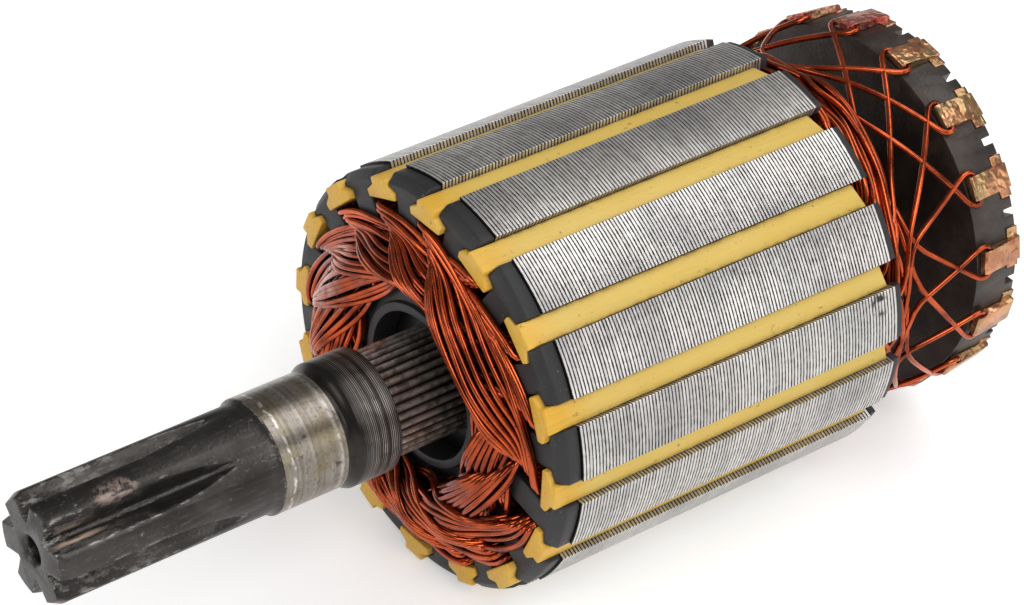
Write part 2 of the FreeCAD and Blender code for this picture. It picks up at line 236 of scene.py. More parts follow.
def from_station(tree, place, low, high):
    """Share of the way that a place is from one station of the shaft to another."""
    x = add_node(tree, "ShaderNodeSeparateXYZ", {0: place}, output="X")
    return add_node(tree, "ShaderNodeMapRange", {"Value": x, "From Min": low, "From Max": high})


def from_axis(tree, place):
    """Distance of a place from the shaft's axis."""
    across = add_node(tree, "ShaderNodeMapping", {"Vector": place, "Scale": (0.0, 1.0, 1.0)})
    return add_node(tree, "ShaderNodeVectorMath", {0: across}, output="Value", operation="LENGTH")


def shade_in_corners(tree, distance, low, high):
    """Share of painted shade at a place, by how far it is closed in by what stands within a distance of it.
    """
    open_air = add_node(tree, "ShaderNodeAmbientOcclusion", {"Distance": distance}, output="AO", samples=8)
    return add_node(tree, "ShaderNodeMapRange", {"Value": open_air, "From Min": low, "From Max": high})


def oval_patch(tree, place, centre, length, width, full=0.6):
    """Share that is 0 outside an oval patch along the shaft, and 1 within a full part of its size."""
    away = add_node(tree, "ShaderNodeVectorMath", {0: place, 1: centre}, operation="SUBTRACT")
    scaled = add_node(tree, "ShaderNodeVectorMath", {
        0: away, 1: (1 / length, 1 / width, 1 / width)}, operation="MULTIPLY")
    far = add_node(tree, "ShaderNodeVectorMath", {0: scaled}, output="Value", operation="LENGTH")
    return add_node(tree, "ShaderNodeMapRange", {"Value": far, "From Min": 1.0, "From Max": full})


def product(tree, first, *others):
    """All the given shares, multiplied."""
    for other in others:
        first = add_node(tree, "ShaderNodeMath", {0: first, 1: other}, operation="MULTIPLY")
    return first


def painted(tree, under, over, *shares):
    """Colour that another one covers by the product of its shares."""
    inputs = {0: product(tree, *shares), 6: under, 7: over}
    return add_node(tree, "ShaderNodeMix", inputs, output=2, data_type="RGBA")


def set_relief(tree, shader, height, distance, rounding=0.0):
    """Relief of a surface, with its edges rounded off by a radius."""
    inputs = {"Height": height, "Distance": distance, "Strength": 1.0}
    if rounding:
        inputs["Normal"] = add_node(tree, "ShaderNodeBevel", {"Radius": rounding}, samples=6)
    set_inputs(shader, {"Normal": add_node(tree, "ShaderNodeBump", inputs)})


def enamelled_copper():
    """Drawn copper wire dipped in varnish: orange, with sharp highlights and browner pools."""
    finish = bpy.context.scene.rotor_finish
    material, tree, place, shader = new_material("enamelled_copper_wire")
    pools = patches(tree, place, 5 * MM, 0.38, 0.68, 4.0)
    colour = painted(tree, tuple(finish.enamel), tuple(finish.enamel_shade), pools)
    specks = patches(tree, place, 0.5 * MM, 0.66, 0.74, 2.0)
    colour = painted(tree, colour, srgb("#4A1D0E"), specks)
    # Painted shade darkens the gaps between the wires, where varnish has also run together
    colour = painted(tree, colour, srgb("#2C0D05"), shade_in_corners(tree, 0.9 * MM, 0.75, 0.2))
    # One bundle of the front end turns has a paler, pinkish-grey patch
    bundle = around_shaft(FRONT_FACE - 3 * MM, 18.3 * MM, 12.95 * SLOT_PITCH)
    pale_patch = oval_patch(tree, place, bundle, 5 * MM, 5 * MM, 0.3)
    colour = painted(tree, colour, srgb("#AE8F8B"), pale_patch, patches(tree, place, 1.6 * MM, 0.35, 0.6))
    set_inputs(shader, {
        "Base Color": colour, "Metallic": 0.92, "Coat Weight": 0.12, "Coat Roughness": 0.08,
        "Roughness": patches(tree, place, 2 * MM, least=0.12, most=0.26)})
    set_relief(tree, shader, patches(tree, place, 0.9 * MM), 0.015 * MM)
    return material


def sheet_steel():
    """Stack of punched electrical steel, turned to size: bright edges with dark joints."""
    finish = bpy.context.scene.rotor_finish
    material, tree, place, shader = new_material("laminated_electrical_steel")
    x = add_node(tree, "ShaderNodeSeparateXYZ", {0: place}, output="X")
    sheets = add_node(tree, "ShaderNodeMath", {0: x, 1: SHEET_THICKNESS}, operation="DIVIDE")
    number = add_node(tree, "ShaderNodeMath", {0: sheets}, operation="FLOOR")
    own = add_node(tree, "ShaderNodeTexWhiteNoise", {"W": number}, noise_dimensions="1D")
    tone = painted(tree, tuple(finish.core), srgb("#C3C0BB"), own)
    tint = patches(tree, place, 14 * MM, 0.45, 0.7, 2.0)
    tone = painted(tree, tone, srgb("#B39A9E"), tint, 0.2)
    dull = patches(tree, place, 13 * MM, 0.46, 0.66, 2.5)
    tone = painted(tree, tone, srgb("#84878C"), dull, 0.45)
    stain = patches(tree, place, 4 * MM, 0.62, 0.75, 5.0)
    tone = painted(tree, tone, srgb("#6D6A68"), stain, 0.4)
    flecks = patches(tree, place, 0.7 * MM, 0.55, 0.72, 4.0)
    tone = painted(tree, tone, srgb("#85817C"), flecks, 0.4)
    # One tooth has a dark smear on its top
    tooth_top = around_shaft(71.2 * MM, 27.75 * MM, math.radians(73.8))
    smear = oval_patch(tree, place, tooth_top, 1.6 * MM, 2.4 * MM)
    tone = painted(tree, tone, srgb("#3A3735"), smear, patches(tree, place, 1.1 * MM, 0.45, 0.58, 4.0))
    # The joints are ragged, because the tool has dragged the edges of some sheets over them
    off_joint = add_node(tree, "ShaderNodeMath", {0: sheets, 1: 0.5}, operation="PINGPONG")
    ragged = patches(tree, place, 0.8 * MM, detail=2.0, least=0.15, most=-0.15)
    off_joint = add_node(tree, "ShaderNodeMath", {0: off_joint, 1: ragged}, operation="ADD")
    joint = add_node(tree, "ShaderNodeMapRange", {"Value": off_joint, "From Min": 0.23, "From Max": 0.1})
    colour = painted(tree, tone, srgb("#2B2A29"), joint)
    set_inputs(shader, {"Base Color": colour, "Metallic": 0.7, "Roughness": 0.34})
    height = add_node(tree, "ShaderNodeMath", {0: product(tree, own, 0.15), 1: joint}, operation="SUBTRACT")
    set_relief(tree, shader, height, 0.09 * MM)
    return material


def moulded_nylon():
    """Black glass-filled nylon, injection moulded: dull, with a faint grain and dust."""
    finish = bpy.context.scene.rotor_finish
    material, tree, place, shader = new_material("moulded_black_nylon")
    dust = patches(tree, place, 6 * MM, 0.45, 0.75, 5.0)
    colour = painted(tree, tuple(finish.insulator), srgb("#363538"), dust, 0.5)
    specks = patches(tree, place, 0.45 * MM, 0.7, 0.76, 2.0)
    colour = painted(tree, colour, srgb("#8B8888"), specks, 0.5)
    set_inputs(shader, {"Base Color": colour, "Roughness": 0.52, "IOR": 1.53, "Specular IOR Level": 0.35})
    set_relief(tree, shader, patches(tree, place, 0.35 * MM), 0.03 * MM)
    return material


def glass_fibre_strip():
    """Pultruded glass-fibre strip in amber resin: satin, streaked along its length."""
    finish = bpy.context.scene.rotor_finish
    material, tree, place, shader = new_material("pultruded_glass_fibre")
    along = add_node(tree, "ShaderNodeMapping", {"Vector": place, "Scale": (0.06, 1.0, 1.0)})
    streaks = patches(tree, along, 0.5 * MM, 0.35, 0.7)
    colour = painted(tree, tuple(finish.wedge), srgb("#C99830"), streaks, 0.45)
    paler = patches(tree, place, 7 * MM, 0.4, 0.65)
    colour = painted(tree, colour, srgb("#E8CC72"), paler, 0.3)
    inside = from_station(tree, place, FRONT_FACE + 1.5 * MM, FRONT_FACE + 6 * MM)
    colour = painted(tree, colour, srgb("#DEC56C"), inside, 0.65)
    dirt = patches(tree, place, 0.8 * MM, 0.66, 0.75)
    colour = painted(tree, colour, srgb("#7A4E1C"), dirt, 0.7)
    # Painted shade, with some varnish and dust, darkens the corner between a strip and the teeth
    corner = shade_in_corners(tree, 1.2 * MM, 0.8, 0.45)
    shade_and_dirt = patches(tree, place, 1.5 * MM, 0.3, 0.6, 4.0)
    colour = painted(tree, colour, srgb("#7B5A22"), corner, shade_and_dirt, 0.75)
    set_inputs(shader, {
        "Base Color": colour, "Roughness": 0.46, "Subsurface Weight": 0.12,
        "Subsurface Radius": (1.2 * MM, 0.8 * MM, 0.3 * MM)})
    set_relief(tree, shader, patches(tree, along, 0.3 * MM), 0.05 * MM)
    return material


def insulating_paper():
    """Pressed slot paper: pale brown and fibrous."""
    material, tree, place, shader = new_material("pressed_slot_paper")
    fibres = patches(tree, place, 0.8 * MM, 0.35, 0.7, 4.0)
    colour = painted(tree, srgb("#A5906A"), srgb("#7E6A4A"), fibres)
    set_inputs(shader, {"Base Color": colour, "Roughness": 0.8})
    return material


def phenolic():
    """Phenolic moulding: nearly black brown, with a low shine and heat stains."""
    material, tree, place, shader = new_material("phenolic_moulding")
    stain = patches(tree, place, 4 * MM, 0.4, 0.7, 5.0)
    colour = painted(tree, srgb("#2A221D"), srgb("#473C33"), stain)
    grime = patches(tree, place, 0.9 * MM, 0.6, 0.72, 4.0)
    colour = painted(tree, colour, srgb("#15110F"), grime)
    set_inputs(shader, {"Base Color": colour, "Roughness": 0.46, "IOR": 1.6, "Specular IOR Level": 0.4})
    set_relief(tree, shader, patches(tree, place, 0.5 * MM, detail=4.0), 0.06 * MM)
    return material


def bare_copper(name, fresh, aged):
    """Stamped copper, fused on the wire and aged: brown with pink and greenish patches."""
    material, tree, place, shader = new_material(name)
    old = patches(tree, place, 2.2 * MM, 0.4, 0.6, 4.0)
    colour = painted(tree, fresh, aged, old)
    green = patches(tree, place, 5 * MM, 0.5, 0.62)
    colour = painted(tree, colour, srgb("#9C9468"), green, 0.5)
    pits = patches(tree, place, 0.9 * MM, 0.62, 0.72, 4.0)
    colour = painted(tree, colour, srgb("#5A3423"), pits, 0.7)
    # The brushes have worn the rear faces flat and bare, in rings about the shaft
    stamped, worn = BRUSH_FACE - 0.25 * MM, BRUSH_FACE - 0.05 * MM
    radius = from_axis(tree, place)
    bare = painted(tree, srgb("#C98F66"), srgb("#A06E4C"), rings(tree, radius, 0.6 * MM, 0.35, 0.65))
    bare = painted(tree, bare, srgb("#8A6148"), old, 0.35)
    colour = painted(tree, colour, bare, from_station(tree, place, stamped, worn))
    set_inputs(shader, {"Base Color": colour, "Metallic": 0.85, "Roughness": 0.3})
    lumps = patches(tree, place, 2.4 * MM, detail=2.2)
    lumps = product(tree, lumps, from_station(tree, place, worn, stamped))
    height = add_node(tree, "ShaderNodeMath", {
        0: rings(tree, radius, 0.6 * MM), 1: 0.02, 2: lumps}, operation="MULTIPLY_ADD")
    set_relief(tree, shader, height, 0.8 * MM)
    return material


def blackened_steel():
    """Milled steel with black oxide: near black, scratched silver, with painted highlights on the lobes'
    edges and in a groove, and two paler brownish patches.
    """
    finish = bpy.context.scene.rotor_finish
    material, tree, place, shader = new_material("black_oxide_steel")
    tone = patches(tree, place, 7 * MM, 0.4, 0.65, 4.0)
    colour = painted(tree, tuple(finish.oxide), srgb("#484543"), tone)
    along = add_node(tree, "ShaderNodeMapping", {"Vector": place, "Scale": (0.15, 1.0, 1.0)})
    draw = patches(tree, along, 0.5 * MM, 0.56, 0.72)
    colour = painted(tree, colour, srgb("#6D6C6B"), draw, 0.3)
    worn = patches(tree, place, 6 * MM, 0.48, 0.62)
    scratch = add_node(tree, "ShaderNodeMapping", {"Vector": place, "Scale": (0.45, 1.0, 1.0)})
    specks = patches(tree, scratch, 0.5 * MM, 0.6, 0.7, 4.0, 0.7)
    colour = painted(tree, colour, srgb("#95928E"), worn, specks, 0.75)
    # Painted highlights, broken up, brighten the lobes' edges, where the metal is also worn bare in places
    flat = add_node(tree, "ShaderNodeNewGeometry", output="True Normal")
    rounded = add_node(tree, "ShaderNodeBevel", {"Radius": 0.35 * MM}, samples=6)
    agree = add_node(tree, "ShaderNodeVectorMath", {
        0: flat, 1: rounded}, output="Value", operation="DOT_PRODUCT")
    edge_highlight = add_node(tree, "ShaderNodeMapRange", {"Value": agree, "From Min": 0.97, "From Max": 0.86})
    highlight_and_wear = patches(tree, scratch, 1.2 * MM, 0.5, 0.6, 4.0, 0.7)
    colour = painted(tree, colour, srgb("#B5B1AB"), edge_highlight, highlight_and_wear, 0.8)
    # Two lobes' tops have paler patches, one brown and one pinkish grey
    lobe_top = 7 * MM
    for x, turn, length, width, code, share in (
        (-29.0 * MM, 348, 3.6 * MM, 2.2 * MM, "#8F765C", 0.55),
        (-25.2 * MM, 24, 3.4 * MM, 1.9 * MM, "#A9948A", 0.65),
    ):
        lobe_patch = oval_patch(tree, place, around_shaft(x, lobe_top, math.radians(turn)), length, width)
        grain = patches(tree, place, 0.9 * MM, 0.44, 0.56, 6.0, 0.7)
        colour = painted(tree, colour, srgb(code), lobe_patch, grain, share)
    # A painted highlight runs along the groove between them: a pale coppery streak, made less metallic so
    # that it shows between its dark flanks
    groove = around_shaft(-31 * MM, 5.2 * MM, math.radians(47))
    groove_highlight = oval_patch(tree, place, groove, 6.5 * MM, 1.1 * MM)
    groove_highlight = product(tree, groove_highlight, patches(tree, along, 0.6 * MM, 0.35, 0.5, 4.0))
    colour = painted(tree, colour, srgb("#F2D3BC"), groove_highlight)
    set_inputs(shader, {
        "Base Color": colour,
        "Metallic": add_node(tree, "ShaderNodeMapRange", {"Value": groove_highlight, "To Min": 0.8, "To Max": 0.1}),
        "Roughness": patches(tree, place, 2.5 * MM, detail=4.0, least=0.26, most=0.46)})
    set_relief(tree, shader, patches(tree, place, 0.5 * MM, detail=5.0), 0.06 * MM, 0.5 * MM)
    return material


def ground_steel():
    """Cylindrically ground bearing seat: bright rings, stained brown, with bands of wear."""
    material, tree, place, shader = new_material("ground_steel")
    x = add_node(tree, "ShaderNodeSeparateXYZ", {0: place}, output="X")
    colour = painted(tree, srgb("#99928A"), srgb("#6F685F"), rings(tree, x, 0.6 * MM, 0.3, 0.7))
    stain = patches(tree, place, 4.5 * MM, 0.42, 0.62, 4.0)
    colour = painted(tree, colour, srgb("#746744"), stain, 0.6)
    grain = patches(tree, place, 0.45 * MM, 0.5, 0.68, 4.0)
    colour = painted(tree, colour, srgb("#575048"), grain, 0.5)
    dark = patches(tree, place, 1.4 * MM, 0.62, 0.7, 5.0)
    colour = painted(tree, colour, srgb("#2E2925"), dark, 0.7)
    # Pits, and two wavy lines scratched round the seat
    pits = oval_patch(tree, place, around_shaft(-2 * MM, 8.5 * MM, math.radians(57)), 1.3 * MM, 1.1 * MM)
    holes = patches(tree, place, 0.6 * MM, 0.46, 0.56)
    colour = painted(tree, colour, srgb("#17130F"), pits, holes)
    broken = patches(tree, place, 0.9 * MM, 0.4, 0.55)
    for station, sway, share in ((-3.3 * MM, 0.7 * MM, 0.75), (3.6 * MM, 0.2 * MM, 0.4)):
        line = patches(tree, place, 2.2 * MM, least=station + sway, most=station - sway)
        away = add_node(tree, "ShaderNodeMath", {0: x, 1: line}, operation="SUBTRACT")
        away = add_node(tree, "ShaderNodeMath", {0: away}, operation="ABSOLUTE")
        scratch = add_node(tree, "ShaderNodeMapRange", {
            "Value": away, "From Min": 0.3 * MM, "From Max": 0.08 * MM})
        colour = painted(tree, colour, srgb("#DAD6D0"), scratch, broken, share)
    set_inputs(shader, {"Base Color": colour, "Metallic": 0.92, "Roughness": 0.3})
    height = add_node(tree, "ShaderNodeMath", {
        0: rings(tree, x, 0.6 * MM), 1: patches(tree, place, 0.45 * MM, detail=4.0)}, operation="ADD")
    set_relief(tree, shader, height, 0.03 * MM)
    return material


def turned_steel():
    """Lathe-turned collar: nearly black, with the tool's fine rings, whose crests are painted bright as
    highlights.
    """
    material, tree, place, shader = new_material("turned_steel")
    x = add_node(tree, "ShaderNodeSeparateXYZ", {0: place}, output="X")
    # The tool's feed of 0.1 mm is drawn as 0.26 mm, so that it shows
    feed = 0.26 * MM
    wave = add_node(tree, "ShaderNodeMath", {0: product(tree, x, math.tau / feed)}, operation="SINE")
    # The crests of the rings are painted bright: painted highlights
    crests = add_node(tree, "ShaderNodeMapRange", {"Value": wave, "From Min": -0.4, "From Max": 1.0})
    # The rings fade in behind the recess and the collar's chamfer
    cut = from_station(tree, place, 6.5 * MM, 8.5 * MM)
    uneven = rings(tree, x, 0.7 * MM, 0.25, 0.6)
    colour = painted(tree, srgb("#33302E"), srgb("#A8A39C"), crests, uneven, cut)
    stain = patches(tree, place, 2.6 * MM, 0.5, 0.68, 5.0)
    colour = painted(tree, colour, srgb("#221E1B"), stain, 0.6)
    set_inputs(shader, {"Base Color": colour, "Metallic": 0.88, "Roughness": 0.3})
    set_relief(tree, shader, product(tree, wave, cut), 0.015 * MM)
    return material


def rolled_steel():
    """Cold-rolled serration: dark brown flanks, with painted highlights on its crests."""
    material, tree, place, shader = new_material("cold_rolled_steel")
    flank, crest = 6.5 * MM, 6.96 * MM
    # Painted highlight: the crests are painted near white, the flanks keep their dark brown
    bright = add_node(tree, "ShaderNodeMapRange", {
        "Value": from_axis(tree, place), "From Min": flank, "From Max": crest})
    colour = painted(tree, srgb("#241D1A"), srgb("#D8CEC3"), bright)
    grime = patches(tree, place, 1.2 * MM, 0.45, 0.62, 5.0)
    colour = painted(tree, colour, srgb("#2A211D"), grime, 0.6)
    set_inputs(shader, {"Base Color": colour, "Metallic": 0.75, "Roughness": 0.28})
    set_relief(tree, shader, patches(tree, place, 0.5 * MM, detail=4.0), 0.04 * MM)
    return material


def turned_brass():
    """Turned brass bush: yellow, dulled in patches."""
    material, tree, place, shader = new_material("turned_brass")
    dull = patches(tree, place, 3 * MM, 0.4, 0.65, 4.0)
    colour = painted(tree, srgb("#B79A5C"), srgb("#8A7442"), dull)
    set_inputs(shader, {"Base Color": colour, "Metallic": 0.95, "Roughness": 0.35})
    return material


def white_board():
    """Matte white board: its own white shows to the camera and in reflections, and keeps the shadow."""
    settings = bpy.context.scene.rotor_stage
    material = bpy.data.materials.new("matte_white_board")
    material.use_nodes = True
    tree = material.node_tree
    shader = tree.nodes["Principled BSDF"]
    set_inputs(shader, {"Base Color": tuple(settings.floor), "Roughness": 0.9, "Specular IOR Level": 0.1})
    path = add_node(tree, "ShaderNodeLightPath").node.outputs
    seen = path["Is Camera Ray"]
    for ray in ("Is Glossy Ray", "Is Transmission Ray"):
        seen = add_node(tree, "ShaderNodeMath", {0: seen, 1: path[ray]}, operation="MAXIMUM")
    glow = add_node(tree, "ShaderNodeEmission", {"Strength": product(tree, seen, 0.36)})
    both = add_node(tree, "ShaderNodeAddShader", {0: shader.outputs[0], 1: glow})
    set_inputs(tree.nodes["Material Output"], {"Surface": both})
    return material


def smoothed(mesh, angle):
    """Smooth shading, kept sharp at edges over an angle."""
    mesh.polygons.foreach_set("use_smooth", [True] * len(mesh.polygons))
    mesh.set_sharp_from_angle(angle=angle)


# Vertices of a CAD mesh that are closer than this are merged, and faces that turn less than this
MERGE_DISTANCE = 0.002 * MM
FLAT_ANGLE = math.radians(0.5)
# Edges that turn more than the first are broken, and what then turns more than the second is
# shaded as sharp
BROKEN_ANGLE = math.radians(28)
SHARP_ANGLE = math.radians(32)


def dressed_copy(node, name, materials, bevel=0.0, segments=2, pick=None):
    """Piece that stands for a CAD node: its mesh, merged and with its sharp edges broken.

    The pick gives a face's material, where a piece has several.
    """
    bm = bmesh.new()
    bm.from_mesh(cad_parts[node].data)
    bmesh.ops.remove_doubles(bm, verts=bm.verts, dist=MERGE_DISTANCE)
    bmesh.ops.dissolve_limit(
        bm, angle_limit=FLAT_ANGLE, verts=bm.verts, edges=bm.edges, use_dissolve_boundaries=False)
    if pick:
        for face in bm.faces:
            face.material_index = pick(face)
    if bevel:
        edges = [e for e in bm.edges if len(e.link_faces) == 2 and e.calc_face_angle() > BROKEN_ANGLE]
        bmesh.ops.bevel(
            bm, geom=edges, offset=bevel, segments=segments, profile=0.5, affect="EDGES", material=-1,
            clamp_overlap=True)
    mesh = bpy.data.meshes.new(name)
    bm.to_mesh(mesh)
    bm.free()
    for material in materials:
        mesh.materials.append(material)
    smoothed(mesh, SHARP_ANGLE)
    piece = bpy.data.objects.new(name, mesh)
    bpy.context.scene.collection.objects.link(piece)
    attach(piece, "root")
    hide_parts(node)
    return piece


class HeightMap:
    """Top of the wires that are already laid on an end face, on a square grid."""

    def __init__(self, half_width, cell, radius):
        self.cell = cell
        self.half_width = half_width
        size = int(2 * half_width / cell) + 1
        self.top = np.zeros((size, size))
        span = int(radius / cell) + 1
        self.stamp = []
        for i in range(-span, span + 1):
            for j in range(-span, span + 1):
                away = math.hypot(i, j) * cell
                if away < radius:
                    self.stamp.append((i, j, math.sqrt(radius ** 2 - away ** 2)))

    def index(self, point):
        """Cell of the grid at a point of the end face."""
        return tuple(round((along + self.half_width) / self.cell) for along in point)

    def rest_height(self, point):
        """Lowest height at which a wire's middle clears all that lies below it."""
        i, j = self.index(point)
        return max(self.top[i + di, j + dj] + rise for di, dj, rise in self.stamp)

    def lay(self, point, height, sink):
        """Raises the top to a wire at a point, less what the next wires sink in beside it."""
        i, j = self.index(point)
        for di, dj, rise in self.stamp:
            self.top[i + di, j + dj] = max(self.top[i + di, j + dj], height + rise - sink)

    def smooth(self, times):
        """Evens the top out, so that it shows the pile and not its single wires."""
        for _ in range(times):
            self.top = 0.2 * (
                self.top + np.roll(self.top, 1, 0) + np.roll(self.top, -1, 0)
                + np.roll(self.top, 1, 1) + np.roll(self.top, -1, 1))


def slot_exit(slot, side, out, lane):
    """Where a wire leaves its slot, in the plane of the end face.

    Lane 0 is at the side of the slot that faces the coil's middle, and lane 1 is at the other.
    """
    tooth_side = 2.2 * MM
    widest = out * math.tan(SLOT_PITCH / 2) - tooth_side
    across = side * widest * (1 - 2 * lane)
    angle = slot * SLOT_PITCH
    return np.array((
        out * math.sin(angle) + across * math.cos(angle),
        out * math.cos(angle) - across * math.sin(angle)))


def plan_route(start, end, middle):
    """Way of a wire over an end face, bowed so that its middle is at a distance from the axis."""
    # An odd number of points, so that one is in the middle
    share = np.linspace(0.0, 1.0, 41)[:, None]
    straight = start * (1 - share) + end * share
    bow = middle / np.hypot(*straight[len(straight) // 2]) - 1
    return straight * (1 + bow * np.sin(share * math.pi))


def resampled(points, spacing):
    """The same way with evenly spaced points."""
    points = np.array(points)
    lengths = np.hypot(*np.diff(points, axis=0).T)
    along = np.concatenate(([0.0], np.cumsum(lengths)))
    stations = np.linspace(0.0, along[-1], max(8, int(along[-1] / spacing)))
    return np.column_stack([np.interp(stations, along, points[:, k]) for k in (0, 1)])


def eased(values, times):
    """Values with their steps smoothed out, the two ends kept."""
    for _ in range(times):
        values[1:-1] = 0.25 * values[:-2] + 0.5 * values[1:-1] + 0.25 * values[2:]
    return values


# Millimetres from the axis at which the innermost and the outermost wire of a coil pass between its
# slots: for the coils under all others, for those that climb over them, and for the last, on top
FRONT_MIDDLES = ((12.0, 17.5), (11.6, 20.6), (14.7, 20.6))
REAR_MIDDLES = ((13.0, 22.0), (15.0, 24.0), (19.5, 24.8))

# Spacing of the points of a wire's way over an end face
ROUTE_STEP = 0.5 * MM
# Passes of smoothing that stand for the stiffness of a wire, and passes that even the pile's top out
STIFFNESS = 14
EVENING = 30
# How much deeper than its place a hidden wire may leave its slot, and how far any wire may leave
# beside its place, as a share of the slot
SLOT_DROP = 0.8 * MM
SLOT_SWAY = 0.08
# Share of the packing by which the neat turns on top of a coil sink in
TOP_PACKING = 0.6
# How far outside the wedges the end face's height map goes on, and the width of its cells
MAP_MARGIN = 6 * MM
MAP_CELL = 0.2 * MM
# Way over which a wire comes down from the height at which it leaves its slot
MOUTH_LENGTH = 5 * MM
# How far a wire may stand over the evened top of the pile
PROUD = 0.25 * MM
# Share of the pile, from its top, in which the wires keep their depths, while the rest is pressed
LOOSE_SHARE = 0.55


def head_profile(point, height, fullness):
    """Height that the whole winding may have at a place on an end face."""
    radius = np.hypot(*point)
    angle = math.atan2(point[0], point[1])
    # The coils that were wound in the middle of the order bulge out, around slot nine
    fullest = 8.75 * SLOT_PITCH
    full = max(fullness, min(1.0, max(0.0, 2 * math.cos(angle - fullest))))
    # The head falls from its crest to its foot, where a part of its height is left
    crest = (15.2 + 3.6 * full) * MM
    foot = (20.0 + 3.2 * full) * MM
    left = 0.12
    share = min(1.0, max(0.0, (foot - radius) / (foot - crest)))
    return height * (left + (1 - left) * share * (2 - share))


def pressed(plan, height, pile, head_height, fullness, radius, rise):
    """Heights of a wire after the whole pile is pressed into its form, the top kept loose.

    The rise is its height where it leaves its slots.
    """
    result = []
    for point, level in zip(plan, height):
        top = pile.top[pile.index(point)]
        form = min(top, head_profile(point, head_height, fullness))
        depth = max(top - level, -PROUD)
        kept = LOOSE_SHARE * form
        if depth > kept:
            depth = kept + (depth - kept) * max(0.0, form - kept - radius) / max(top - kept, 0.1 * MM)
        result.append(max(0.0, form - depth))
    away = np.arange(len(result)) * ROUTE_STEP
    mouth = np.maximum(1 - away / MOUTH_LENGTH, 1 - away[::-1] / MOUTH_LENGTH)
    result = np.maximum(np.array(result), rise * np.maximum(0.0, mouth))
    return eased(result, STIFFNESS)


def placed(face, toward, plan, height):
    """Points in space of a wire, from its way over an end face and its heights."""
    return [Vector((face + toward * level, -point[0], point[1])) for point, level in zip(plan, height)]


def coil_lanes(winding, rng):
    """Place of each turn across its coil, from 0 to 1: hidden turns at random, top turns in order."""
    lanes = [(k + rng.random()) / winding.hidden_strands for k in range(winding.hidden_strands)]
    rng.shuffle(lanes)
    return lanes + [1 - (k + 0.5) / winding.strands for k in range(winding.strands)]


def strayed(plan, wander, rng):
    """A wire's way with a slow swing to its sides, and none at its ends."""
    along = np.linspace(0, 1, len(plan))
    swing = math.pi * (1.0 + rng.random()) * along + rng.uniform(0, math.tau)
    stray = wander * np.sin(swing) * np.sin(along * math.pi)
    return plan * (1 + stray / np.hypot(*plan.T))[:, None]


def bridged(rest):
    """Heights of a stiff wire that lies on all below it, and spans the hollows."""
    height = rest.copy()
    for _ in range(STIFFNESS):
        height = np.maximum(rest, eased(height.copy(), 1))
    return eased(height, 4)


def lay_end_turns(face, toward, head_height, middles, fullness, packing, seed):
    """Lays all coils over one end face, in winding order, and gives each one's wires.

    The fullness is how far the head bulges out all round, in shares of the front one's bulge, and
    the packing is the share of a wire's radius by which the next wires sink in beside it.
    """
    winding = bpy.context.scene.rotor_winding
    rng = random.Random(seed)
    radius = winding.wire_diameter / 2
    ground = HeightMap(WEDGE_BOTTOM + MAP_MARGIN, MAP_CELL, radius)
    filled = set()
    coils = []
    for coil in range(1, SLOT_COUNT + 1):
        layers = []
        for slot in (coil, (coil + COIL_PITCH - 1) % SLOT_COUNT + 1):
            if slot in filled:
                layers.append((winding.exit_middle, winding.exit_high))
            else:
                layers.append((winding.exit_low, winding.exit_middle))
            filled.add(slot)
        climbs = sum(low == winding.exit_middle for low, high in layers)
        inner, outer = middles[climbs]
        wires = []
        for number, lane in enumerate(coil_lanes(winding, rng)):
            hidden = number < winding.hidden_strands
            ends = []
            for slot, side, (low, high) in zip((coil, coil + COIL_PITCH), (1, -1), layers):
                drop = SLOT_DROP * rng.random() if hidden else 0.0
                across = min(1.0, max(0.0, lane + rng.uniform(-SLOT_SWAY, SLOT_SWAY)))
                ends.append(slot_exit(slot, side, low + (high - low) * lane - drop, across))
            plan = resampled(plan_route(*ends, (inner + (outer - inner) * lane) * MM), ROUTE_STEP)
            plan = strayed(plan, winding.wander * (2.0 if hidden else 1.0), rng)
            rest = np.array([ground.rest_height(p) for p in plan])
            # At its slots a wire lies on the face itself
            rest[:2] = 0.0
            rest[-2:] = 0.0
            height = bridged(rest)
            for point, level in zip(plan[1:-1], height[1:-1]):
                ground.lay(point, level, packing * radius * (1.0 if hidden else TOP_PACKING))
            # A top turn leaves its slots the higher, the nearer to the shaft it lies
            rise = (0.1 if hidden else 0.9 - 0.5 * lane) * MM
            wires.append((plan, height, rise))
        coils.append(wires)
    ground.smooth(EVENING)
    return [
        [
            placed(face, toward, plan, pressed(plan, height, ground, head_height, fullness, radius, rise))
            for plan, height, rise in wires
        ]
        for wires in coils
    ]


def add_wire(curve, points):
    """Adds one smooth wire to a curve."""
    spline = curve.splines.new("NURBS")
    spline.points.add(len(points) - 1)
    for target, point in zip(spline.points, points):
        target.co = (*point, 1.0)
    spline.order_u = 4
    spline.use_endpoint_u = True


# Share of its turn that a lead stays with the end turns, before it runs straight to its hook, for
# the leads that the photo shows
START_LEAD_SHARES = {14: 0.45, 15: 0.48, 16: 0.76, 1: 0.64, 2: 0.7}
END_LEAD_SHARES = {14: 0.3, 15: 0.32, 16: 0.4, 1: 0.74, 2: 0.78, 3: 0.84}


